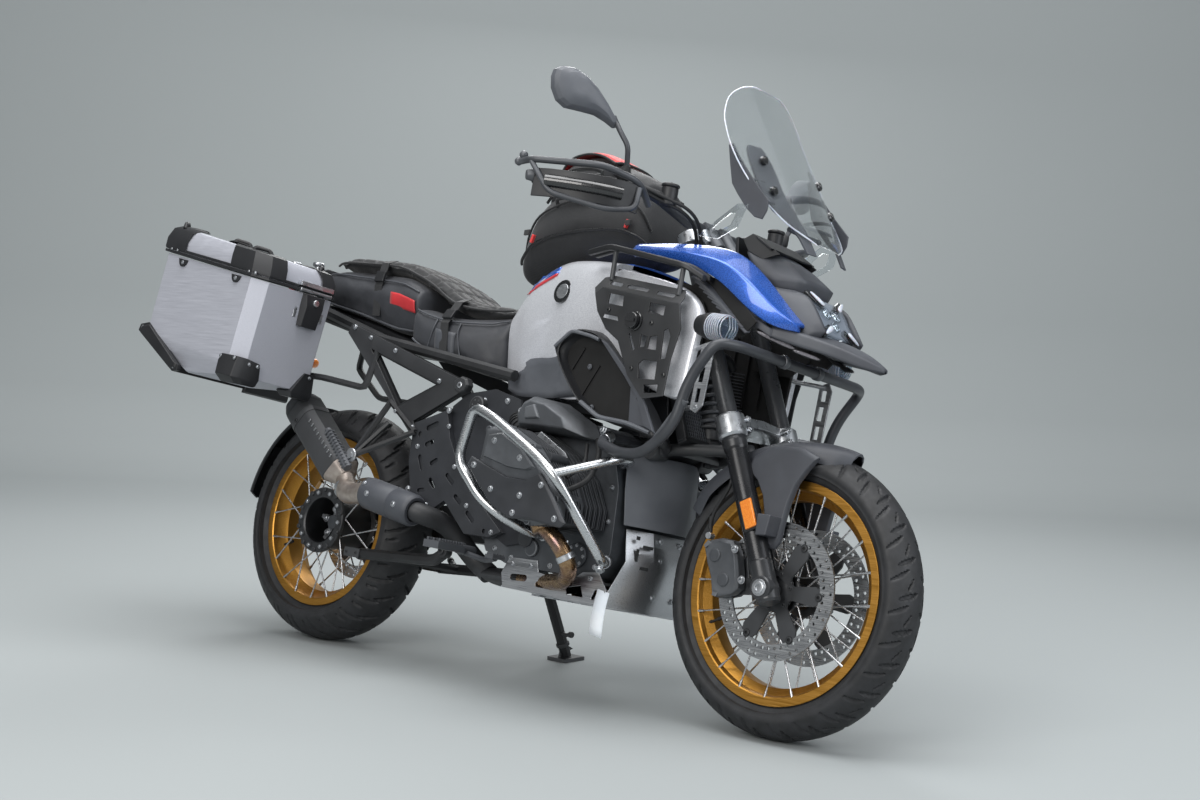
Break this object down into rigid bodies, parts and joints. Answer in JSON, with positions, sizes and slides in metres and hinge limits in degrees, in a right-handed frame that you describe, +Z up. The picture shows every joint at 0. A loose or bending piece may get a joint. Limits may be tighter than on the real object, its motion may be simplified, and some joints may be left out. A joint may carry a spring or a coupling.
{
  "type": "adventure motorcycle",
  "caption": "Adventure motorcycle on its side stand: flat twin, shaft drive, gold spoked wheels, guard bars, tall screen, tank bag, seat pad and one aluminium side case",
  "frame": {"origin": "middle of the parked machine's outline on the floor", "axes": "+X ahead, +Y to the rider's left, +Z up; the machine leans 12 degrees to +Y"},
  "size_m": [2.2976, 1.145, 1.4851],
  "materials": {
    "bag_fabric": "coarse woven",
    "bare_aluminium": "brushed",
    "black_plastic": "fine grained",
    "black_steel": "satin",
    "blue_paint": "metallic, clear coated",
    "case_metal": "satin anodised",
    "disc_steel": "ground",
    "engine_black": "satin powder coat",
    "engine_grey": "matt",
    "frame_grey": "satin",
    "gold_rim": "gold anodised",
    "grey_plastic": "fine grained",
    "hub_black": "satin",
    "lens": "clear",
    "muffler_black": "matt",
    "pad_fabric": "quilted",
    "screen": "clear",
    "seat_cover": "matt vinyl",
    "silver_steel": "satin",
    "tank_white": "metallic, clear coated",
    "titanium_pipe": "heat tinted",
    "tyre": "matt"
  },
  "bodies": {
    "chassis": {"air_scoops": "black_plastic", "aux_lights": "black_plastic", "beak": "grey_plastic", "case_guards": "black_plastic", "cylinders": "engine_black", "engine_block": "engine_grey", "exhaust_headers": "titanium_pipe", "foot_controls": "bare_aluminium", "front_cowl": "grey_plastic", "fuel_tank": "tank_white", "head_covers": "engine_grey", "head_guards": "frame_grey", "headlight": "lens", "heat_shield": "muffler_black", "intake_housings": "engine_grey", "louvre_panels": "black_plastic", "lower_crash_bars": "silver_steel", "luggage_rack": "black_steel", "main_frame": "frame_grey", "muffler": "muffler_black", "nose_panel": "grey_plastic", "pannier_case": "case_metal", "passenger_seat": "seat_cover", "rear_guard": "black_plastic", "rear_subframe": "black_steel", "rider_seat": "seat_cover", "screen_carrier": "grey_plastic", "seat_pad": "pad_fabric", "side_cowls": "blue_paint", "side_fairings": "tank_white", "side_racks": "black_steel", "skid_plate": "bare_aluminium", "suspension_struts": "black_steel", "swingarm": "black_steel", "tail_unit": "black_plastic", "tank_bag": "bag_fabric", "telelever_arm": "black_steel", "upper_crash_bars": "black_steel", "windscreen": "screen"},
    "steering": {"fork": "engine_black", "top_yoke": "silver_steel", "handlebar": "black_steel", "hand_guards": "black_plastic", "mirrors": "grey_plastic", "front_mudguard": "grey_plastic", "front_calipers": "engine_grey"},
    "front_wheel": {"front_tyre": "tyre", "front_rim": "gold_rim", "front_hub": "hub_black", "front_discs": "disc_steel"},
    "rear_wheel": {"rear_tyre": "tyre", "rear_rim": "gold_rim", "rear_hub": "hub_black"},
    "side_stand_leg": {"side_stand": "black_steel"},
    "centre_stand_frame": {"centre_stand": "black_steel"},
    "case_lid": {"pannier_lid": "case_metal"}
  },
  "joints": [
    {"name": "steering_turn", "type": "hinge", "parent": "chassis", "child": "steering", "pos_m": [0.79212, -0.15915, 0.30404], "axis": [-0.4415, 0.1866, 0.8777], "range_deg": [-35, 35]},
    {"name": "front_wheel_spin", "type": "hinge", "parent": "steering", "child": "front_wheel", "pos_m": [0.82523, -0.15577, 0.31997], "axis": [0, 0.9781, -0.2079], "continuous": true},
    {"name": "rear_wheel_spin", "type": "hinge", "parent": "chassis", "child": "rear_wheel", "pos_m": [-0.70877, -0.15722, 0.31312], "axis": [0, 0.9781, -0.2079], "continuous": true},
    {"name": "side_stand_fold", "type": "hinge", "parent": "chassis", "child": "side_stand_leg", "pos_m": [-0.10877, 0.01596, 0.24769], "axis": [0.0967, 0.9314, 0.3509], "range_deg": [0, 95.3]},
    {"name": "centre_stand_drop", "type": "hinge", "parent": "chassis", "child": "centre_stand_frame", "pos_m": [-0.14877, -0.16346, 0.28378], "axis": [0, -0.9781, 0.2079], "range_deg": [0, 95]},
    {"name": "case_lid_open", "type": "hinge", "parent": "chassis", "child": "case_lid", "pos_m": [-0.85877, -0.25069, 0.9556], "axis": [-0.9881, 0.032, 0.1504], "range_deg": [0, 95]}
  ]
}
